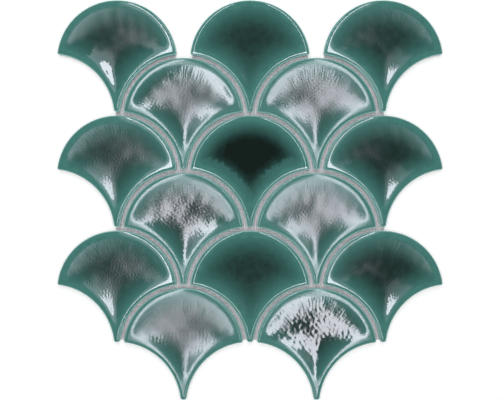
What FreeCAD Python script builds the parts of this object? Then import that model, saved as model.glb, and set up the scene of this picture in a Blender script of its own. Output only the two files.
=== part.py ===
"""Fish scale mosaic sheet: fired, glazed scales in staggered rows, bonded face up to one net backing.

Every edge of a scale is an arc of a circle. The round head has its own circle, and the two hollow
flanks and the blunt tip are the circles of the scales below, each wider by one joint. So the rolled
rim and the dish of a scale are turned about those same centres, and stay parallel to its edges.
"""

import math
import os

import FreeCAD
import Part

# Driving dimensions, in millimetres
HEAD_RADIUS = 41.0  # round head of one scale
JOINT = 2.75  # open joint between neighbouring scales
STEM_WIDTH = 3.5  # narrowest width of the stem, between the two heads below
ROW_PITCH = 39.4  # from one row of scales to the next
ROWS = 6
LONG_ROW_SCALES = 3  # odd rows hold this many, even rows one less

SCALE_THICKNESS = 5.5  # from the fired back to the crest of the rim
SIDE_CORNER_RADIUS = 1.2  # the two side points of a scale, seen from above
TIP_CORNER_RADIUS = 1.5  # the two corners of the blunt tip
RIM_WIDTH = 2.7  # from the side in to the crest of the rim, where the dish begins
RIM_DROP = 1.0  # how far the rolled rim falls from its crest to where it would turn upright
DISH_DEPTH = 0.85  # from the crest of the rim down to the floor of the dish
DISH_SHOULDER = 3.0  # how far in from the crest the slope of the dish turns down
DISH_HOLLOW = 17.0  # how far on from there it levels out again

KEY_DEPTH = 0.5  # grooves pressed into the back to hold the adhesive
KEY_WIDTH = 4.0
KEY_PITCH = 9.0
KEY_MARGIN = 6.0  # plain border around the grooves

NET_THICKNESS = 0.5
NET_INSET = 0.8  # the net is trimmed this far inside the outer scales

# Half the distance from one head to the next in a row, which is how far each row is shifted
HALF_PITCH = HEAD_RADIUS + JOINT + STEM_WIDTH / 2

# Working values of the construction
CIRCLE_SEAM_TURN = -90  # degrees, turns a circle's seam to its foot, away from every outline
CUT_CLEARANCE = 1.0  # how far a cutter stands past the face that it cuts
ROLL_OVERHANG = 0.1  # how far outside the side the roll would turn upright
ROLL_CROWN = 0.02  # how far the roll would rise over the crest, so that it meets it at a slight angle
DISH_CROWN = 0.02  # the same for the slope of the dish, which leaves the crest at a slight angle
OVERLAP = 0.01  # makes neighbouring cells of the net run into each other

UP = FreeCAD.Vector(0, 0, 1)


def below(side):
    """Centre of a neighbouring head one row down: side is -1 for the left one and 1 for the right."""
    return FreeCAD.Vector(side * HALF_PITCH, -ROW_PITCH, 0)


def two_below():
    """Centre of the head two rows down, which the tip points at."""
    return FreeCAD.Vector(0, -2 * ROW_PITCH, 0)


def disc(centre, radius):
    """Flat round face."""
    face = Part.Face(Part.Wire(Part.makeCircle(radius, centre)))
    face.rotate(centre, UP, CIRCLE_SEAM_TURN)
    return face


def outline(grow):
    """Plan of one scale about its head's centre, with every edge moved outwards by grow."""
    head = disc(FreeCAD.Vector(0, 0, 0), HEAD_RADIUS + grow)
    hollows = [disc(centre, HEAD_RADIUS + JOINT - grow) for centre in (below(-1), below(1), two_below())]
    return max(head.cut(hollows).Faces, key=lambda face: face.Area)


def upright_edges(solid):
    """Edges that run from the back of a scale to its top, from the stem outwards."""
    upright = [edge for edge in solid.Edges if edge.BoundBox.ZLength > SCALE_THICKNESS / 2]
    return sorted(upright, key=lambda edge: abs(edge.CenterOfMass.x))


def blank():
    """Pressed blank: the plan raised to full height, with its four corners rounded."""
    solid = outline(0).extrude(UP * SCALE_THICKNESS)
    solid = solid.makeFillet(TIP_CORNER_RADIUS, upright_edges(solid)[:2])
    return solid.makeFillet(SIDE_CORNER_RADIUS, upright_edges(solid)[-2:])


def point(radius, height):
    """Point of a profile, before it is turned."""
    return FreeCAD.Vector(radius, 0, height)


def turned(curves, corners, centre):
    """Solid turned about the upright axis through centre.

    Its profile is a run of curves and the straight lines that go on from the last curve's end through
    the corners and back to the first curve's start.
    """
    stops = [curves[-1].Vertexes[-1].Point, *corners, curves[0].Vertexes[0].Point]
    lines = [Part.makeLine(here, there) for here, there in zip(stops, stops[1:])]
    face = Part.Face(Part.Wire([*curves, *lines]))
    face.translate(centre)
    return face.revolve(centre, UP, 360)


def roll(edge_at, inwards, centre):
    """Space above the rolled rim along one edge, turned about centre.

    The roll is most of a quarter of an ellipse, up to where it meets the level of the crest. edge_at is the
    edge's radius, and inwards is -1 where the scale lies towards the centre, and 1 where it lies away from it.
    """
    peak = point(edge_at + inwards * RIM_WIDTH, SCALE_THICKNESS + ROLL_CROWN)
    foot = point(edge_at - inwards * ROLL_OVERHANG, peak.z - RIM_DROP)
    ellipse = Part.Ellipse(foot, peak, point(peak.x, foot.z))
    curve = Part.ArcOfEllipse(ellipse, 0, math.asin(1 - ROLL_CROWN / RIM_DROP)).toShape()
    crest_at = curve.Vertexes[-1].Point.x
    lid = peak.z + CUT_CLEARANCE
    outside = foot.x - inwards * CUT_CLEARANCE
    return turned([curve], [point(crest_at, lid), point(outside, lid), point(outside, foot.z)], centre)


def rim_rolls():
    """What the rolled rim takes off along the tip, the head and both flanks."""
    hollow = HEAD_RADIUS + JOINT
    return [
        roll(hollow, 1, two_below()),
        roll(HEAD_RADIUS, -1, FreeCAD.Vector(0, 0, 0)),
        roll(hollow, 1, below(-1)),
        roll(hollow, 1, below(1)),
    ]


def bowl(crest_at, inwards, centre):
    """Space above one slope of the dish, turned about centre.

    The slope is two arcs that meet without a kink, a short rounded shoulder and a long hollow. It would be
    level at radius crest_at, just over the crest of the rim, starts where it falls through the level of the
    crest, and is level again where it meets the floor. inwards is as for the roll.
    """
    peak = SCALE_THICKNESS + DISH_CROWN
    floor = SCALE_THICKNESS - DISH_DEPTH
    level_at = crest_at + inwards * (DISH_SHOULDER + DISH_HOLLOW)
    steepest = 2 * math.atan((peak - floor) / (DISH_SHOULDER + DISH_HOLLOW))

    def fall(whole_run, share):
        """How far an arc leaves its level end, after a share of its run."""
        radius = whole_run / math.sin(steepest)
        return radius - math.sqrt(radius**2 - (share * whole_run) ** 2)

    def on_shoulder(share):
        return point(crest_at + inwards * share * DISH_SHOULDER, peak - fall(DISH_SHOULDER, share))

    def in_hollow(share):
        return point(level_at - inwards * share * DISH_HOLLOW, floor + fall(DISH_HOLLOW, share))

    shoulder_radius = DISH_SHOULDER / math.sin(steepest)
    first = math.sqrt(2 * shoulder_radius * DISH_CROWN - DISH_CROWN**2) / DISH_SHOULDER
    start = on_shoulder(first)
    shoulder = Part.Arc(start, on_shoulder((1 + first) / 2), on_shoulder(1)).toShape()
    hollow = Part.Arc(on_shoulder(1), in_hollow(0.5), in_hollow(0)).toShape()
    far_at = 0 if inwards < 0 else crest_at + 2 * HEAD_RADIUS
    lid = SCALE_THICKNESS + CUT_CLEARANCE
    return turned([shoulder, hollow], [point(far_at, floor), point(far_at, lid), point(start.x, lid)], centre)


def dish():
    """Hollow of the face: what lies above the head's slope and above the slope of the nearer flank."""
    reach = 2 * HEAD_RADIUS
    head = bowl(HEAD_RADIUS - RIM_WIDTH, -1, FreeCAD.Vector(0, 0, 0))
    left_half = Part.makeBox(reach, 2 * reach, reach, FreeCAD.Vector(-reach, -reach, 0))
    left = bowl(HEAD_RADIUS + JOINT + RIM_WIDTH, 1, below(-1)).common(left_half)
    right = left.mirror(FreeCAD.Vector(0, 0, 0), FreeCAD.Vector(1, 0, 0))
    return head.common(left.fuse(right).removeSplitter())


def back_key():
    """Straight grooves across the back, stopped short of the edges."""
    field = outline(-KEY_MARGIN)
    box = field.BoundBox
    count = int(box.YLength // KEY_PITCH)
    first = box.Center.y - (count - 1) / 2 * KEY_PITCH - KEY_WIDTH / 2
    bars = [
        Part.makePlane(box.XLength, KEY_WIDTH, FreeCAD.Vector(box.XMin, first + row * KEY_PITCH, 0))
        for row in range(count)
    ]
    return field.common(bars).extrude(UP * KEY_DEPTH)


def scale():
    """One fired scale about its head's centre, lying on its back."""
    solid = blank()
    for cutter in [*rim_rolls(), dish(), back_key()]:
        solid = solid.cut(cutter)
    return solid


def row_places(row, ghosts=0):
    """Head centres of one row, left to right, in the sheet's frame with row 0 at y = 0.

    ghosts adds that many places at each end, where the scales of the next sheets would lie.
    """
    count = LONG_ROW_SCALES - row % 2 + 2 * ghosts
    return [
        FreeCAD.Vector((2 * column - count + 1) * HALF_PITCH, -row * ROW_PITCH, 0) for column in range(count)
    ]


def fused(faces):
    """Flat faces joined into one."""
    return faces[0].multiFuse(faces[1:]).removeSplitter()


def placed(face, places):
    """Copies of a face at each of the places."""
    return [face.translated(place) for place in places]


def backing_net():
    """Backing under the whole sheet, trimmed just inside the outer scales."""
    held = [place for row in range(ROWS) for place in row_places(row)]
    around = [
        place
        for row in range(-2, ROWS + 2)
        for place in row_places(row, ghosts=1)
        if all(place.distanceToPoint(other) > OVERLAP for other in held)
    ]
    cells = fused(placed(outline(JOINT / 2 + OVERLAP), held))
    trimmed = cells.cut(placed(outline(JOINT + NET_INSET), around))
    return trimmed.extrude(UP * NET_THICKNESS)


def row_names(row):
    """Names of the scales of one row, left to right."""
    count = LONG_ROW_SCALES - row % 2
    ends = ["left", "right"]
    if count == 2:
        return ends
    inner = ["middle"] if count == 3 else [f"middle{number}" for number in range(1, count - 1)]
    return [ends[0], *inner, ends[1]]


def main():
    os.makedirs("parts", exist_ok=True)
    one_scale = scale()
    tight_box = one_scale.optimalBoundingBox()
    sheet_foot = tight_box.YMin - (ROWS - 1) * ROW_PITCH
    centring = FreeCAD.Vector(0, -(tight_box.YMax + sheet_foot) / 2, 0)

    backing_net().translated(centring).exportStep("parts/backing_net.step")
    for row in range(ROWS):
        for name, place in zip(row_names(row), row_places(row)):
            seat = centring + place + UP * NET_THICKNESS
            one_scale.translated(seat).exportStep(f"parts/scale_row{row + 1}_{name}.step")


main()
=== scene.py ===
"""Looks of the fish scale mosaic sheet: rippled green glaze on every scale, and a backing of net threads.

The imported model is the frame. Every scale is made again as a fine mesh of the same form, so that its
glaze can carry real ripples, and the net becomes the threads that the solid stands for.
"""

import math
from typing import NamedTuple

import bpy
import numpy as np
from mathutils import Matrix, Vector
from mathutils.geometry import delaunay_2d_cdt


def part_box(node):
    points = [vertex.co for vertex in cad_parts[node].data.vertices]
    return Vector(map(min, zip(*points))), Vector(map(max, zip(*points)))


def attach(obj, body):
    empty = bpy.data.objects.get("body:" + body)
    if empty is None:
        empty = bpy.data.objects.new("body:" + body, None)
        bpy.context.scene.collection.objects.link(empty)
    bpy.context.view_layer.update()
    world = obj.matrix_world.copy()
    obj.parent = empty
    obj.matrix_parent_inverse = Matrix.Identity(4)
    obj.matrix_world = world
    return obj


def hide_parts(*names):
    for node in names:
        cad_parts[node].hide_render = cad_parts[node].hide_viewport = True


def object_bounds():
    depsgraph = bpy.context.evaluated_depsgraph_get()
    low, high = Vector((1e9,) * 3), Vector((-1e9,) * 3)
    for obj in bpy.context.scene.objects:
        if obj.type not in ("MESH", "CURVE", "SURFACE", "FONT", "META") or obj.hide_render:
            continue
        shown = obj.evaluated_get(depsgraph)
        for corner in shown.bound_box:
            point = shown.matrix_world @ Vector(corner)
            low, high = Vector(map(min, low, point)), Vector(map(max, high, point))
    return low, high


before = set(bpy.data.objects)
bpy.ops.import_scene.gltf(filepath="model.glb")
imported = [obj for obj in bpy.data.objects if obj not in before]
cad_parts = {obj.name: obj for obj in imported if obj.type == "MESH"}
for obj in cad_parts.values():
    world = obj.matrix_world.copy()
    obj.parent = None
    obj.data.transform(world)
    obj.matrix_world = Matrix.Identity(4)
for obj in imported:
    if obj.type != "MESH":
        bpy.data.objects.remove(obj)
CAD_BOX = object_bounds()

MM = 0.001  # sizes below are in millimetres, and Blender's are in metres

# Form of the solids
HEAD_RADIUS = 41.0
JOINT = 2.75
STEM_WIDTH = 3.5
ROW_PITCH = 39.4
SCALE_THICKNESS = 5.5
SIDE_CORNER_RADIUS = 1.2
TIP_CORNER_RADIUS = 1.5
RIM_DROP = 1.0
ROLL_OVERHANG = 0.1
DISH_DEPTH = 0.85
DISH_SHOULDER = 3.0
DISH_HOLLOW = 17.0
KEY_DEPTH = 0.5
KEY_WIDTH = 4.0
KEY_PITCH = 9.0
KEY_MARGIN = 6.0
NET_THICKNESS = 0.5
NET_INSET = 0.8
HALF_PITCH = HEAD_RADIUS + JOINT + STEM_WIDTH / 2
HOLLOW_RADIUS = HEAD_RADIUS + JOINT

# Centres of the circles that hollow out a scale, from its head's centre: left flank, right flank, tip
HEAD = np.array([0.0, 0.0])
BELOW_LEFT = np.array([-HALF_PITCH, -ROW_PITCH])
BELOW_RIGHT = np.array([HALF_PITCH, -ROW_PITCH])
TWO_BELOW = np.array([0.0, -2 * ROW_PITCH])

# How finely a scale is meshed
BORDER_STEP = 0.5
ARC_STEPS = 5  # at least so many on the shortest arc
GRID_STEP = 0.42
RIM_RINGS = (0.07, 0.18, 0.34, 0.55, 0.82, 1.15, 1.5, 1.85, 2.2, 2.5, 2.75, 3.05, 3.4)
RING_SLACK = 0.02  # how much nearer to another edge a ring's point may lie
SIDE_LEVELS = (4.0, 2.9, 1.9, 1.0, 0.25)
GROOVE_STEPS = 9  # points up each end of a groove
SHARP_ANGLE = 50  # degrees, where shading breaks
POINT_MERGE = 1e-6  # points of a plan nearer than this are one

# What the glaze adds to the form
ROLL_POWER = 2.1  # the roll is a little fuller than an ellipse
VALLEY_ROUND = 6.0  # how wide the valleys between the slopes of the dish are rounded
CREST_INSET = 2.35  # the glaze draws the crest of the rim a little outwards


def on_plan(points, centre):
    """Distance of every point from a centre."""
    return np.hypot(points[:, 0] - centre[0], points[:, 1] - centre[1])


def edge_distances(points):
    """How far inside each edge of a scale the points lie: head, left flank, right flank, tip."""
    head = HEAD_RADIUS - on_plan(points, HEAD)
    hollows = (BELOW_LEFT, BELOW_RIGHT, TWO_BELOW)
    return [head, *(on_plan(points, centre) - HOLLOW_RADIUS for centre in hollows)]


def rounded_min(first, second, radius):
    """The smaller distance, with the square corner between the two edges rounded."""
    in_corner = (first < radius) & (second < radius)
    round_corner = radius - np.hypot(radius - first, radius - second)
    return np.where(in_corner, round_corner, np.minimum(first, second))


def inset(points):
    """How far inside the outline of a scale the points lie."""
    head, left, right, tip = edge_distances(points)
    lower = rounded_min(np.minimum(left, right), tip, TIP_CORNER_RADIUS)
    return rounded_min(head, lower, SIDE_CORNER_RADIUS)


def smooth_min(first, second, blend):
    """The smaller value, with the step between the two eased over blend."""
    share = np.clip(0.5 + (second - first) / (2 * blend), 0, 1)
    return second + (first - second) * share - blend * share * (1 - share)


def smooth_step(value, low, high):
    """0 below low, 1 above high, and eased between them."""
    share = np.clip((value - low) / (high - low), 0, 1)
    return share * share * (3 - 2 * share)


def rim_fall(points):
    """How far the rolled rim lies below its crest."""
    outwards = np.clip((CREST_INSET - inset(points)) / (CREST_INSET + ROLL_OVERHANG), 0, 1)
    return RIM_DROP * (1 - np.sqrt(1 - outwards**ROLL_POWER))


def dish_fall(points):
    """How far the dish lies below the crest: a short shoulder and then a long hollow."""
    head, left, right, _ = edge_distances(points)
    inside = smooth_min(smooth_min(left, right, VALLEY_ROUND), head, VALLEY_ROUND)
    run = np.clip(inside - CREST_INSET, 0, DISH_SHOULDER + DISH_HOLLOW)
    steepest = 2 * DISH_DEPTH / (DISH_SHOULDER + DISH_HOLLOW)
    shoulder = steepest * run**2 / (2 * DISH_SHOULDER)
    hollow = DISH_DEPTH - steepest * (DISH_SHOULDER + DISH_HOLLOW - run) ** 2 / (2 * DISH_HOLLOW)
    return np.where(run < DISH_SHOULDER, shoulder, hollow)


def upper_meeting(centre, radius, other, other_radius):
    """The upper of the two points where two circles meet."""
    apart = other - centre
    length = np.hypot(*apart)
    along = (length**2 + radius**2 - other_radius**2) / (2 * length)
    across = math.sqrt(radius**2 - along**2)
    foot = centre + apart * along / length
    sideways = np.array([-apart[1], apart[0]]) * across / length
    return max(foot + sideways, foot - sideways, key=lambda point: point[1])


def towards(start, end, distance):
    """The point at a distance from start, on the line to end."""
    return start + (end - start) * distance / np.hypot(*(end - start))


def arc(centre, start, end):
    """Points on the shorter arc about centre from start to end, without the end itself."""
    first, last = start - centre, end - centre
    from_angle = math.atan2(first[1], first[0])
    turn = math.remainder(math.atan2(last[1], last[0]) - from_angle, 2 * math.pi)
    radius = np.hypot(*first)
    steps = max(ARC_STEPS, math.ceil(abs(turn) * radius / BORDER_STEP))
    angles = from_angle + turn * np.arange(steps) / steps
    return centre + radius * np.column_stack([np.cos(angles), np.sin(angles)])


def border():
    """Points round the outline of a scale, against the clock, about its head's centre."""
    side_reach = HOLLOW_RADIUS + SIDE_CORNER_RADIUS
    side = upper_meeting(HEAD, HEAD_RADIUS - SIDE_CORNER_RADIUS, BELOW_RIGHT, side_reach)
    tip_reach = HOLLOW_RADIUS + TIP_CORNER_RADIUS
    tip = upper_meeting(BELOW_RIGHT, tip_reach, TWO_BELOW, tip_reach)
    top = np.array([0.0, HEAD_RADIUS])
    head_end = towards(HEAD, side, HEAD_RADIUS)
    flank_start = towards(BELOW_RIGHT, side, HOLLOW_RADIUS)
    flank_end = towards(BELOW_RIGHT, tip, HOLLOW_RADIUS)
    foot_start = towards(TWO_BELOW, tip, HOLLOW_RADIUS)
    foot = TWO_BELOW + np.array([0.0, HOLLOW_RADIUS])
    right = np.concatenate(
        [
            arc(HEAD, top, head_end),
            arc(side, head_end, flank_start),
            arc(BELOW_RIGHT, flank_start, flank_end),
            arc(tip, flank_end, foot_start),
            arc(TWO_BELOW, foot_start, foot),
            foot[None],
        ]
    )
    left = right[1:-1] * [-1, 1]
    return np.concatenate([right, left[::-1]])[::-1]


def inwards(points):
    """Unit direction in from the outline, at every point."""
    step = 0.01
    steps = np.eye(2) * step
    slope = np.column_stack([inset(points + move) - inset(points - move) for move in steps])
    return slope / np.linalg.norm(slope, axis=1)[:, None]


def within(points, loop):
    """Which points lie inside a closed loop of points."""
    inside = np.zeros(len(points), bool)
    for here, there in zip(loop, np.roll(loop, -1, axis=0)):
        if here[1] == there[1]:
            continue
        crossing = here[0] + (points[:, 1] - here[1]) * (there[0] - here[0]) / (there[1] - here[1])
        inside ^= ((points[:, 1] > here[1]) != (points[:, 1] > there[1])) & (points[:, 0] < crossing)
    return inside


def triangulated(loop, holes=(), more=()):
    """Points and triangles of the region inside a loop and outside the holes, with more points in it.

    The points come in that order: those of the loop, those of the holes, then the others.
    """
    starts = np.cumsum([0] + [len(ring) for ring in (loop, *holes)])
    rings = [np.arange(start, end) for start, end in zip(starts, starts[1:])]
    edges = [(int(here), int(there)) for ring in rings for here, there in zip(ring, np.roll(ring, -1))]
    points = np.concatenate([loop, *holes, *more])
    found = delaunay_2d_cdt([Vector(point) for point in points], edges, [], 0, POINT_MERGE, False)
    triangles = np.array(found[2])
    middles = points[triangles].mean(axis=1)
    kept = within(middles, loop)
    for hole in holes:
        kept &= ~within(middles, hole)
    return points, triangles[kept]


def face_plan(edge):
    """Points and triangles of the face of a scale, seen from above: rings along the rim, then a grid."""
    normals = inwards(edge)
    rings = []
    for depth in RIM_RINGS:
        ring = edge + normals * depth
        rings.append(ring[inset(ring) > depth - RING_SLACK])
    columns = np.arange(-HEAD_RADIUS, HEAD_RADIUS, GRID_STEP)
    rows = np.arange(-HEAD_RADIUS, HEAD_RADIUS, GRID_STEP * math.sqrt(3) / 2)
    grid_x, grid_y = np.meshgrid(columns, rows)
    grid_x[1::2] += GRID_STEP / 2
    grid = np.column_stack([grid_x.ravel(), grid_y.ravel()])
    grid = grid[inset(grid) > RIM_RINGS[-1] + GRID_STEP / 2]
    return triangulated(edge, more=[*rings, grid])


def key_grooves():
    """Outlines of the grooves in the back, each as a loop of points."""
    outer = HEAD_RADIUS - KEY_MARGIN
    hollow = HOLLOW_RADIUS + KEY_MARGIN
    lowest = math.sqrt(hollow**2 - HALF_PITCH**2) - ROW_PITCH
    count = int((outer - lowest) // KEY_PITCH)
    first = (outer + lowest) / 2 - (count - 1) / 2 * KEY_PITCH - KEY_WIDTH / 2

    def half_width(height):
        within_head = math.sqrt(outer**2 - height**2)
        rise = height + ROW_PITCH
        if rise > hollow:
            return within_head
        return min(within_head, HALF_PITCH - math.sqrt(hollow**2 - rise**2))

    loops = []
    for groove in range(count):
        heights = first + groove * KEY_PITCH + np.linspace(0, KEY_WIDTH, GROOVE_STEPS)
        right = np.array([(half_width(height), height) for height in heights])
        loops.append(np.concatenate([right, (right * [-1, 1])[::-1]]))
    return loops


def back_faces(edge):
    """Points and triangles of the back of a scale, with its grooves. The first points are those of edge."""
    grooves = key_grooves()
    plan, flat = triangulated(edge, holes=grooves)
    points = [np.column_stack([plan, np.zeros(len(plan))])]
    triangles = [flat]
    lip, used = len(edge), len(plan)
    for groove in grooves:
        _, floor = triangulated(groove)
        points.append(np.column_stack([groove, np.full(len(groove), KEY_DEPTH)]))
        ring = np.arange(len(groove))
        triangles.append(floor + used)
        triangles.append(strip(ring + lip, ring + used))
        lip, used = lip + len(groove), used + len(groove)
    return np.concatenate(points), np.concatenate(triangles)[:, ::-1]


def strip(lower, upper):
    """Triangles between two closed rings of the same number of points."""
    next_lower, next_upper = np.roll(lower, -1), np.roll(upper, -1)
    return np.concatenate(
        [np.column_stack([lower, next_lower, next_upper]), np.column_stack([lower, next_upper, upper])]
    )


def waves(points, seed, shortest, longest, count=48):
    """Smooth uneven noise about 0 with a spread of 1: plane waves of any direction, length and phase."""
    dice = np.random.default_rng(seed)
    directions = dice.uniform(0, 2 * math.pi, count)
    turns = 2 * math.pi / dice.uniform(shortest, longest, count)
    phases = dice.uniform(0, 2 * math.pi, count)
    across = np.stack([np.cos(directions) * turns, np.sin(directions) * turns])
    return np.cos(points @ across + phases).sum(axis=1) * math.sqrt(2 / count)


def new_mesh(name, points, triangles):
    """Mesh of triangles from points in millimetres."""
    mesh = bpy.data.meshes.new(name)
    mesh.vertices.add(len(points))
    mesh.vertices.foreach_set("co", (points * MM).astype(np.float32).ravel())
    mesh.loops.add(triangles.size)
    mesh.loops.foreach_set("vertex_index", triangles.astype(np.int32).ravel())
    mesh.polygons.add(len(triangles))
    mesh.polygons.foreach_set("loop_start", np.arange(0, triangles.size, 3, dtype=np.int32))
    mesh.update(calc_edges=True)
    mesh.validate()
    mesh.shade_smooth()
    return mesh


def add_attribute(mesh, name, values):
    """Number for every point of a mesh, for its material."""
    mesh.attributes.new(name, "FLOAT", "POINT").data.foreach_set("value", values.astype(np.float32))


def add_piece(name, mesh, material, node):
    """Puts a mesh in the scene in place of one of the solids."""
    mesh.materials.append(material)
    piece = bpy.data.objects.new(name, mesh)
    bpy.context.scene.collection.objects.link(piece)
    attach(piece, "root")
    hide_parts(node)
    return piece


EDGE = border()
FACE_PLAN, FACE_TRIANGLES = face_plan(EDGE)
BACK_POINTS, BACK_TRIANGLES = back_faces(EDGE)

# Relief of the glaze: heights, and the shortest and longest wave of each kind
RIPPLE_HEIGHT = 0.0036
RIPPLE_LENGTHS = (1.3, 2.6)
SWELL_HEIGHT = 0.005
SWELL_LENGTHS = (7, 13)
STREAK_HEIGHT = 0.0040
STREAK_DRAWN = 7  # a streak is so many times as long, towards the head's centre, as it is wide
STREAKS_BEGIN = (3, 6)  # distances from the head's edge
STREAKS_END = (10, 22)
RIPPLES_LOST = 0.6  # share of the ripples that the streaks take up
RELIEF_FADE = (3.5, 8)  # distances from the outline over which the relief grows to its full height


class Firing(NamedTuple):
    """How the glaze of one scale fired."""

    rim_haze: float
    pool_haze: float
    head_haze: float  # of the slope along the round head
    flank_haze: float  # of the slopes along the two flanks
    strength: float  # height of the ripples, as a share of the usual one
    stretch: float  # length of the ripples, likewise
    sunk: float  # depth of the dish, likewise
    gathered: float  # how deep the colour pooled, likewise


FIRED = {
    "scale_row1_left": Firing(0.05, 0.10, 0.12, 0.01, 0.35, 1.0, 1.0, 1.0),
    "scale_row1_middle": Firing(0.05, 0.10, 0.07, 0.07, 0.5, 1.0, 1.0, 1.0),
    "scale_row1_right": Firing(0.05, 0.09, 0.11, 0.05, 0.7, 1.0, 1.0, 1.0),
    "scale_row2_left": Firing(0.13, 0.16, 0.08, 0.09, 0.8, 1.1, 1.2, 1.0),
    "scale_row2_right": Firing(0.13, 0.13, 0.12, 0.10, 1.0, 1.0, 1.0, 1.0),
    "scale_row3_left": Firing(0.05, 0.12, 0.10, 0.08, 0.9, 1.0, 1.0, 1.0),
    "scale_row3_middle": Firing(0.05, 0.05, 0.06, 0.05, 0.3, 1.0, 1.0, 1.4),
    "scale_row3_right": Firing(0.05, 0.09, 0.11, 0.06, 0.7, 1.0, 1.0, 1.1),
    "scale_row4_left": Firing(0.13, 0.12, 0.16, 0.08, 0.7, 1.4, 1.15, 1.1),
    "scale_row4_right": Firing(0.13, 0.13, 0.15, 0.10, 0.9, 1.0, 1.0, 1.0),
    "scale_row5_left": Firing(0.05, 0.12, 0.10, 0.08, 0.9, 1.0, 1.0, 1.0),
    "scale_row5_middle": Firing(0.05, 0.10, 0.07, 0.07, 0.5, 1.0, 1.0, 1.0),
    "scale_row5_right": Firing(0.05, 0.09, 0.11, 0.05, 0.6, 1.0, 1.0, 1.1),
    "scale_row6_left": Firing(0.13, 0.17, 0.17, 0.11, 1.0, 1.1, 1.0, 1.0),
    "scale_row6_right": Firing(0.13, 0.07, 0.08, 0.06, 0.7, 1.8, 1.1, 1.1),
}

# One scale has a smooth dent beside its stem, placed from its head's centre
DENTED = "scale_row1_left"
DENT_PLACE = (-8.5, -4.5)
DENT_TILT = 0.020
DENT_SIZE = (5.0, 4.0)
DENT_FADE = (3, 7)

# How haze and colour change over the face
RIM_TO_SLOPE = (3, 6)  # distances from the outline
RIPPLES_FROM = (3, 7)
HEAD_TO_FLANK = 6  # either side of the line that lies as far from the head as from the nearer flank
POOL_FROM = 0.5  # share of the dish's depth where the pool's haze begins
POOL_SPAN = 0.8  # share of the glaze colours that a pool of usual depth goes through

# A deep pool of colour is cut off by lighter lobes along the flanks, with ragged edges. The lobes are
# partly lighter glaze and partly a painted reflection of a dim lamp
RAGGED_FROM = 1.3  # how deep the colour has pooled where the lobes begin to show
RAGGED_BY = 0.45  # share of the colour's depth that the lobes take off
RAGGED_REACH = 10.5  # how far in from the flank they reach
RAGGED_EDGE = 0.8
RAGGED_LENGTHS = (1.8, 6.0)
RAGGED_SOFT = 0.5
RAGGED_CLEAR = 1  # how far past the middle between flank and head they may reach
RIGHT_LOBE_FADE = (-6, 2)  # heights over which the right lobe, which has no foot, fades in


def glaze_relief(points, seed, strength, stretch):
    """Ripples, swells and streaks of the fired glaze, which fade out on the rim."""
    shortest, longest = RIPPLE_LENGTHS
    angles = np.arctan2(points[:, 0], points[:, 1])
    around = np.column_stack([angles * HEAD_RADIUS, on_plan(points, HEAD) / STREAK_DRAWN])
    head = edge_distances(points)[0]
    streaked = smooth_step(head, *STREAKS_BEGIN) * (1 - smooth_step(head, *STREAKS_END))
    ripples = stretch * waves(points, seed, shortest * stretch, longest * stretch)
    relief = RIPPLE_HEIGHT * strength * (1 - RIPPLES_LOST * streaked) * ripples
    relief += SWELL_HEIGHT * stretch * waves(points, seed + 1, *SWELL_LENGTHS)
    relief += STREAK_HEIGHT * strength * streaked * waves(around, seed + 2, *RIPPLE_LENGTHS)
    return relief * smooth_step(inset(points), *RELIEF_FADE)


def dent(points):
    """Height of the smooth dent, which tilts the glaze around its place."""
    across = points - DENT_PLACE
    tilted = -DENT_TILT * across[:, 0] * np.exp(-0.5 * ((across / DENT_SIZE) ** 2).sum(axis=1))
    return tilted * smooth_step(inset(points), *DENT_FADE)


def colour_depth_and_lobe_sheen(pool, seed, gathered):
    """Which of the glaze colours the face shows, from the share of the dish's depth. On a deep pool,
    lighter lobes are taken off it, partly as a painted reflection.
    """
    depth = pool * gathered * POOL_SPAN
    if gathered < RAGGED_FROM:
        return depth
    head, left, right, _ = edge_distances(FACE_PLAN)
    reach = RAGGED_REACH + RAGGED_EDGE * waves(FACE_PLAN, seed + 3, *RAGGED_LENGTHS)
    reach = np.minimum(reach, head + RAGGED_CLEAR)
    # Painted reflection: the lighter lobes stand partly for a dim lamp reflected on the flanks
    left_lobe_sheen = smooth_step(reach - left, -RAGGED_SOFT, RAGGED_SOFT)
    right_lobe_sheen = smooth_step(reach - right, -RAGGED_SOFT, RAGGED_SOFT)
    right_lobe_sheen *= smooth_step(FACE_PLAN[:, 1], *RIGHT_LOBE_FADE)
    return depth * (1 - RAGGED_BY * np.maximum(left_lobe_sheen, right_lobe_sheen))


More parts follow.
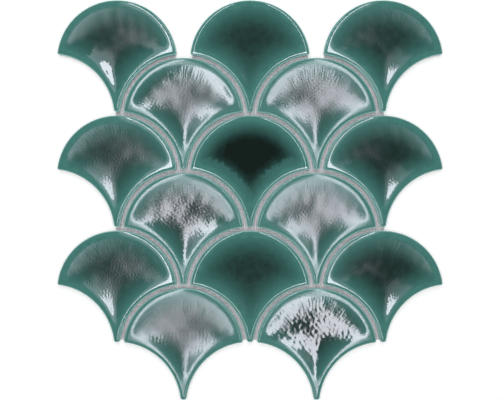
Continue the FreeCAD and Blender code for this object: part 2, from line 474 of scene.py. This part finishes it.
def scale_mesh(name, place, base, seed, fired, dented):
    """Closed mesh of one scale: glazed face, upright sides and keyed back."""
    fall = dish_fall(FACE_PLAN)
    heights = SCALE_THICKNESS - rim_fall(FACE_PLAN) - fired.sunk * fall
    heights += glaze_relief(FACE_PLAN, seed, fired.strength, fired.stretch)
    if dented:
        heights += dent(FACE_PLAN)
    points = [np.column_stack([FACE_PLAN, heights])]
    triangles = [FACE_TRIANGLES]
    upper = np.arange(len(EDGE))
    used = len(FACE_PLAN)
    for level in SIDE_LEVELS:
        points.append(np.column_stack([EDGE, np.full(len(EDGE), level)]))
        lower = np.arange(used, used + len(EDGE))
        triangles.append(strip(lower, upper))
        upper, used = lower, used + len(EDGE)
    points.append(BACK_POINTS)
    triangles.append(strip(np.arange(used, used + len(EDGE)), upper))
    triangles.append(BACK_TRIANGLES + used)
    points = np.concatenate(points)
    mesh = new_mesh(name, points + [*place, base], np.concatenate(triangles))
    mesh.set_sharp_from_angle(angle=math.radians(SHARP_ANGLE))

    def on_face(values):
        """Values of the face's points, with 0 for all the others."""
        return np.concatenate([values, np.zeros(len(points) - len(FACE_PLAN))])

    head, left, right, _ = edge_distances(FACE_PLAN)
    on_head = on_face(smooth_step(np.minimum(left, right) - head, -HEAD_TO_FLANK, HEAD_TO_FLANK))
    pool = on_face(fall / DISH_DEPTH)
    rim = on_face(inset(FACE_PLAN))
    slope_haze = fired.flank_haze + (fired.head_haze - fired.flank_haze) * on_head
    haze = fired.rim_haze + (slope_haze - fired.rim_haze) * smooth_step(rim, *RIM_TO_SLOPE)
    haze += (fired.pool_haze - slope_haze) * smooth_step(pool, POOL_FROM, 1.0)
    # On a deep pool this also carries the lighter lobes, partly a painted reflection
    add_attribute(mesh, "pool", on_face(colour_depth_and_lobe_sheen(fall / DISH_DEPTH, seed, fired.gathered)))
    add_attribute(mesh, "rim", rim)
    add_attribute(mesh, "height", points[:, 2])
    add_attribute(mesh, "ripple", smooth_step(rim, *RIPPLES_FROM) * min(fired.strength, 1))
    add_attribute(mesh, "haze", haze)
    return mesh


def node_of(tree, kind, **inputs):
    """New node with values or links for its inputs."""
    node = tree.nodes.new(kind)
    for name, value in inputs.items():
        socket = node.inputs[name.replace("_", " ")]
        if isinstance(value, bpy.types.NodeSocket):
            tree.links.new(value, socket)
        else:
            socket.default_value = value
    return node


def ramp(tree, value, stops):
    """Colour that goes through the stops, each a position and a colour, as the value rises."""
    node = node_of(tree, "ShaderNodeValToRGB", Fac=value)
    elements = node.color_ramp.elements
    while len(elements) < len(stops):
        elements.new(1.0)
    for element, (position, colour) in zip(elements, stops):
        element.position = position
        element.color = (*colour, 1.0)
    return node.outputs["Color"]


def maths(tree, operation, *values):
    """Result of a sum with numbers or sockets."""
    node = tree.nodes.new("ShaderNodeMath")
    node.operation = operation
    for socket, value in zip(node.inputs, values):
        if isinstance(value, bpy.types.NodeSocket):
            tree.links.new(value, socket)
        else:
            socket.default_value = value
    return node.outputs[0]


def attribute(tree, name):
    """Number that a mesh carries at its points."""
    node = tree.nodes.new("ShaderNodeAttribute")
    node.attribute_name = name
    return node.outputs["Fac"]


def noise(tree, scale, detail=2.0):
    """Noise in space, with scale in waves per metre."""
    where = tree.nodes.new("ShaderNodeTexCoord").outputs["Object"]
    return node_of(tree, "ShaderNodeTexNoise", Vector=where, Scale=scale, Detail=detail).outputs["Fac"]


def mixed(tree, share, first, second):
    """Colour between two colours."""
    node = tree.nodes.new("ShaderNodeMix")
    node.data_type = "RGBA"
    for name, value in (("Factor_Float", share), ("A_Color", first), ("B_Color", second)):
        socket = next(socket for socket in node.inputs if socket.identifier == name)
        if isinstance(value, bpy.types.NodeSocket):
            tree.links.new(value, socket)
        else:
            socket.default_value = (*value, 1.0) if isinstance(value, tuple) else value
    return next(socket for socket in node.outputs if socket.identifier == "Result_Color")


def new_material(name):
    """Empty node material and its surface shader."""
    material = bpy.data.materials.new(name)
    material.use_nodes = True
    tree = material.node_tree
    return material, tree, tree.nodes["Principled BSDF"]


# Glaze colours from the rim's crest to the floor of the dish
GLAZE_STOPS = (
    (0.0, (0.070, 0.236, 0.192)),
    (0.08, (0.055, 0.188, 0.150)),
    (0.22, (0.052, 0.166, 0.140)),
    (0.35, (0.043, 0.140, 0.115)),
    (0.56, (0.032, 0.104, 0.085)),
    (0.72, (0.022, 0.067, 0.055)),
    (0.82, (0.014, 0.042, 0.034)),
    (1.0, (0.007, 0.016, 0.012)),
)
EDGE_GLAZE_AND_HIGHLIGHT = (0.320, 0.610, 0.560)  # thin glaze along the outline, made paler still as a painted edge highlight
EDGE_GLAZE_AND_HIGHLIGHT_WIDTH = 0.9  # millimetres, as are the heights of the glaze's foot
GLAZE_IOR = 1.55
CLAY = (0.62, 0.55, 0.46)
CLAY_DARK = (0.50, 0.43, 0.35)
CLAY_ROUGHNESS = 0.85
GLAZE_FOOT = 0.5  # lowest height on the sides that the glaze runs down to
GLAZE_FOOT_RANGE = 1.4  # its edge lies up to this much higher

# Noise in the glaze and clay, in waves per metre
MOTTLE = 260
MOTTLE_BY = 0.24  # share of the glaze colours that the mottling goes through
GLAZE_FOOT_WAVES = 120
CLAY_GRAIN = 900
FINE_RIPPLES = 900
FINE_RIPPLE_HEIGHT = 0.8e-5  # metres


def glaze_material():
    """Green glaze that darkens where it pools, with a pale edge that is partly thin glaze and partly a
    painted highlight, over pale fired clay on the lower sides and back.
    """
    material, tree, shader = new_material("green_glaze")
    mottle = maths(tree, "MULTIPLY_ADD", noise(tree, MOTTLE, 4), MOTTLE_BY, -MOTTLE_BY / 2)
    body = ramp(tree, maths(tree, "ADD", attribute(tree, "pool"), mottle), GLAZE_STOPS)
    # Pale band along the outline: partly thin glaze, partly a painted edge highlight
    thin_and_highlit = maths(tree, "SUBTRACT", 1.0, maths(tree, "DIVIDE", attribute(tree, "rim"), EDGE_GLAZE_AND_HIGHLIGHT_WIDTH))
    thin_and_highlit = maths(tree, "MAXIMUM", thin_and_highlit, 0.0)
    glaze = mixed(tree, thin_and_highlit, body, EDGE_GLAZE_AND_HIGHLIGHT)
    clay = mixed(tree, noise(tree, CLAY_GRAIN, 6), CLAY, CLAY_DARK)
    line = maths(tree, "MULTIPLY_ADD", noise(tree, GLAZE_FOOT_WAVES), GLAZE_FOOT_RANGE, GLAZE_FOOT)
    glazed = maths(tree, "GREATER_THAN", attribute(tree, "height"), line)
    tree.links.new(mixed(tree, glazed, clay, glaze), shader.inputs["Base Color"])
    smoothing = maths(tree, "SUBTRACT", CLAY_ROUGHNESS, attribute(tree, "haze"))
    rough = maths(tree, "SUBTRACT", CLAY_ROUGHNESS, maths(tree, "MULTIPLY", glazed, smoothing))
    tree.links.new(rough, shader.inputs["Roughness"])
    rippled = maths(tree, "MULTIPLY", noise(tree, FINE_RIPPLES, 1.0), attribute(tree, "ripple"))
    bump = node_of(tree, "ShaderNodeBump", Strength=1.0, Distance=FINE_RIPPLE_HEIGHT, Height=rippled)
    tree.links.new(bump.outputs["Normal"], shader.inputs["Normal"])
    shader.inputs["IOR"].default_value = GLAZE_IOR
    return material


# The net. Its threads lie in two layers, the lower one along X
NET_SEED = 77
NET_OVERLAP = 0.01  # makes neighbouring cells of the net run into each other
THREAD_PITCH = 1.6
THREAD_WIDTH = 1.1
THREAD_THICKNESS = 0.58 * NET_THICKNESS
UPPER_LAYER = 0.7 * NET_THICKNESS
LOWER_LAYER = 0.3 * NET_THICKNESS
THREAD_SIDES = 6
THREAD_STEP = 10.0  # from ring to ring along a thread
LANE_STEP = 0.1  # how finely the trimmed outline is found
SHORTEST_RUN = 25  # in such steps: a thread that is shorter falls out
LANE_SHIFT = 0.12  # spread of the threads' places
THREAD_WANDER = 0.05  # spread along one thread
THREAD_WHITE = (0.95, 0.93, 0.92)
THREAD_SHADE = (0.72, 0.70, 0.69)
THREAD_GRAIN = 1400  # waves per metre
THREAD_ROUGHNESS = 0.7


def net_covers(points, held, ghosts):
    """Which points lie on the trimmed net: in the cell of a held scale, and clear of the scales around."""
    covered = np.zeros(len(points), bool)
    for place in held:
        covered |= np.min(edge_distances(points - place), axis=0) > -JOINT / 2 - NET_OVERLAP
    for place in ghosts:
        covered &= np.min(edge_distances(points - place), axis=0) < -JOINT - NET_INSET
    return covered


def thread(line, height):
    """Closed flat tube along a line on the plan."""
    along = np.gradient(line, axis=0)
    along /= np.linalg.norm(along, axis=1)[:, None]
    sideways = np.column_stack([-along[:, 1], along[:, 0]])
    count = len(line)
    corners = []
    for angle in 2 * math.pi * np.arange(THREAD_SIDES) / THREAD_SIDES:
        beside = line + sideways * math.cos(angle) * THREAD_WIDTH / 2
        level = height + math.sin(angle) * THREAD_THICKNESS / 2
        corners.append(np.column_stack([beside, np.full(count, level)]))
    points = np.stack(corners, axis=1).reshape(-1, 3)
    ring = np.arange(THREAD_SIDES)
    rings = [ring + THREAD_SIDES * index for index in range(count)]
    triangles = [strip(here, there) for here, there in zip(rings, rings[1:])]
    fan = np.array([(0, index + 1, index) for index in range(1, THREAD_SIDES - 1)])
    last = fan[:, ::-1] + THREAD_SIDES * (count - 1)
    return points, np.concatenate([*triangles, fan, last])


def runs(inside):
    """First and last index of every unbroken run of true values."""
    steps = np.diff(np.concatenate([[0], inside.astype(int), [0]]))
    return zip(np.flatnonzero(steps == 1), np.flatnonzero(steps == -1) - 1)


def net_mesh(held, ghosts, low, high):
    """Threads of the net, laid across each other and cut off at its trimmed outline."""
    dice = np.random.default_rng(NET_SEED)
    points, triangles, used = [], [], 0
    for axis, layer in ((0, UPPER_LAYER), (1, LOWER_LAYER)):
        lane_length = np.arange(low[1 - axis], high[1 - axis], LANE_STEP)
        for lane in np.arange(low[axis] + THREAD_PITCH / 3, high[axis], THREAD_PITCH):
            path = np.empty((len(lane_length), 2))
            path[:, axis] = lane + dice.normal(0, LANE_SHIFT)
            path[:, 1 - axis] = lane_length
            for first, last in runs(net_covers(path, held, ghosts)):
                if last - first < SHORTEST_RUN:
                    continue
                steps = max(2, int((last - first) * LANE_STEP / THREAD_STEP) + 1)
                line = path[np.linspace(first, last, steps).astype(int)]
                line[1:-1, axis] += dice.normal(0, THREAD_WANDER, steps - 2)
                thread_points, thread_triangles = thread(line, layer)
                points.append(thread_points)
                triangles.append(thread_triangles + used)
                used += len(thread_points)
    return new_mesh("backing_net_threads", np.concatenate(points), np.concatenate(triangles))


def net_material():
    """White glass fibre threads."""
    material, tree, shader = new_material("net_threads")
    colour = mixed(tree, noise(tree, THREAD_GRAIN, 3), THREAD_WHITE, THREAD_SHADE)
    tree.links.new(colour, shader.inputs["Base Color"])
    shader.inputs["Roughness"].default_value = THREAD_ROUGHNESS
    return material


# The scales, each in the place of its solid
SCALE_NODES = sorted(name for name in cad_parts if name.startswith("scale_"))
SEED_STEP = 10  # from the noise of one scale to that of the next
glaze = glaze_material()
places = []
for number, node in enumerate(SCALE_NODES):
    low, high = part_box(node)
    place = np.array([(low[0] + high[0]) / 2 / MM, high[1] / MM - HEAD_RADIUS])
    places.append(place)
    name = node + "_glazed"
    mesh = scale_mesh(name, place, low[2] / MM, SEED_STEP * number, FIRED[node], node == DENTED)
    add_piece(name, mesh, glaze, node)

# The net under them. Around the sheet, it is cut clear of where the scales of the next sheets would lie
ROWS = 6
COLUMNS_EACH_SIDE = 4
top_row = max(place[1] for place in places)
around = [
    np.array([column * HALF_PITCH, top_row - row * ROW_PITCH])
    for row in range(-2, ROWS + 2)
    for column in range(-COLUMNS_EACH_SIDE, COLUMNS_EACH_SIDE + 1)
    if (row + column) % 2 == 0
]
ghosts = [place for place in around if min(np.hypot(*(place - other)) for other in places) > JOINT]
net_low, net_high = (np.array(corner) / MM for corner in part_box("backing_net"))
net = net_mesh(places, ghosts, net_low, net_high)
net_piece = add_piece("backing_net_threads", net, net_material(), "backing_net")

# Floor: white paper, which fades to plain white away from the sheet, so that no horizon shows
FLOOR_HALF = 3.0  # metres
FLOOR_DROP = 0.0002
FLOOR_NEAR = 0.3  # it is paper out to here, and plain white a metre further on
FLOOR_COLOUR = (0.88, 0.885, 0.83, 1)
FLOOR_ROUGHNESS = 0.9
FLOOR_LIFT = 0.34  # own light that the camera and reflections see near the sheet
WHITE = (1.0, 1.0, 1.0)

corners = [(x * FLOOR_HALF, y * FLOOR_HALF, -FLOOR_DROP) for x, y in ((-1, -1), (1, -1), (1, 1), (-1, 1))]
floor_mesh = bpy.data.meshes.new("floor")
floor_mesh.from_pydata(corners, [], [(0, 1, 2, 3)])
floor = bpy.data.objects.new("floor", floor_mesh)
bpy.context.scene.collection.objects.link(floor)
floor_material, tree, shader = new_material("floor_paper")
shader.inputs["Base Color"].default_value = FLOOR_COLOUR
shader.inputs["Roughness"].default_value = FLOOR_ROUGHNESS
floor_mesh.materials.append(floor_material)
path = tree.nodes.new("ShaderNodeLightPath")
from_middle = tree.nodes.new("ShaderNodeVectorMath")
from_middle.operation = "LENGTH"
tree.links.new(tree.nodes.new("ShaderNodeTexCoord").outputs["Object"], from_middle.inputs[0])
away = maths(tree, "SUBTRACT", from_middle.outputs["Value"], FLOOR_NEAR)
away = maths(tree, "MINIMUM", maths(tree, "MAXIMUM", away, 0.0), 1.0)
seen = maths(tree, "ADD", path.outputs["Is Camera Ray"], path.outputs["Is Glossy Ray"])
seen = maths(tree, "ADD", seen, path.outputs["Is Transmission Ray"])
lift = maths(tree, "MULTIPLY", seen, maths(tree, "MULTIPLY_ADD", away, 1 - FLOOR_LIFT, FLOOR_LIFT))
tree.links.new(lift, shader.inputs["Emission Strength"])
shader.inputs["Emission Color"].default_value = (*WHITE, 1)

# Lights: on each side of the camera a bright strip, and a dim one outside it
CAMERA_HEIGHT = 620.0
LAMP_COLOUR = (0.97, 0.96, 1.06)
LAMP_LENGTH = 900.0
LAMP_FORWARD = 120.0  # from the middle of the sheet towards its top row


def strip_light(name, x, width, radiance):
    """Long soft light above the sheet, at the camera's height and facing down."""
    light = bpy.data.lights.new(name, "AREA")
    light.shape = "RECTANGLE"
    light.size = width * MM
    light.size_y = LAMP_LENGTH * MM
    light.energy = radiance * math.pi * width * LAMP_LENGTH * MM * MM
    light.color = LAMP_COLOUR
    lamp = bpy.data.objects.new(name, light)
    lamp.location = (x * MM, LAMP_FORWARD * MM, CAMERA_HEIGHT * MM)
    bpy.context.scene.collection.objects.link(lamp)


strip_light("core_left", -114.5, 35, 15)
strip_light("core_right", 108.5, 37, 14)
strip_light("outer_left", -153, 42, 2.0)
strip_light("outer_right", 147, 40, 1.1)

# World: white round about, and dark overhead, where the camera stands
DARK = (0.05, 0.05, 0.05)
SKY_STOPS = ((0.0, WHITE), (0.5, (0.5, 0.5, 0.5)), (0.8, DARK), (1.0, DARK))

world = bpy.data.worlds.new("studio")
bpy.context.scene.world = world
world.use_nodes = True
tree = world.node_tree
where = tree.nodes.new("ShaderNodeTexCoord")
up = node_of(tree, "ShaderNodeSeparateXYZ", Vector=where.outputs["Generated"]).outputs["Z"]
path = tree.nodes.new("ShaderNodeLightPath")
sky = mixed(tree, path.outputs["Is Camera Ray"], ramp(tree, up, SKY_STOPS), WHITE)
tree.links.new(sky, tree.nodes["Background"].inputs["Color"])

# Camera, looking straight down
VIEW_WIDTH = 341.5  # what the photo's width shows, at the level of the glaze
SENSOR_WIDTH = 36

camera_data = bpy.data.cameras.new("camera")
camera_data.sensor_width = SENSOR_WIDTH
camera_data.lens = SENSOR_WIDTH * CAMERA_HEIGHT / VIEW_WIDTH
camera = bpy.data.objects.new("camera", camera_data)
camera.location = (0, 0, CAD_BOX[1][2] + CAMERA_HEIGHT * MM)
bpy.context.scene.collection.objects.link(camera)
bpy.context.scene.camera = camera
bpy.context.scene.view_settings.view_transform = "Standard"
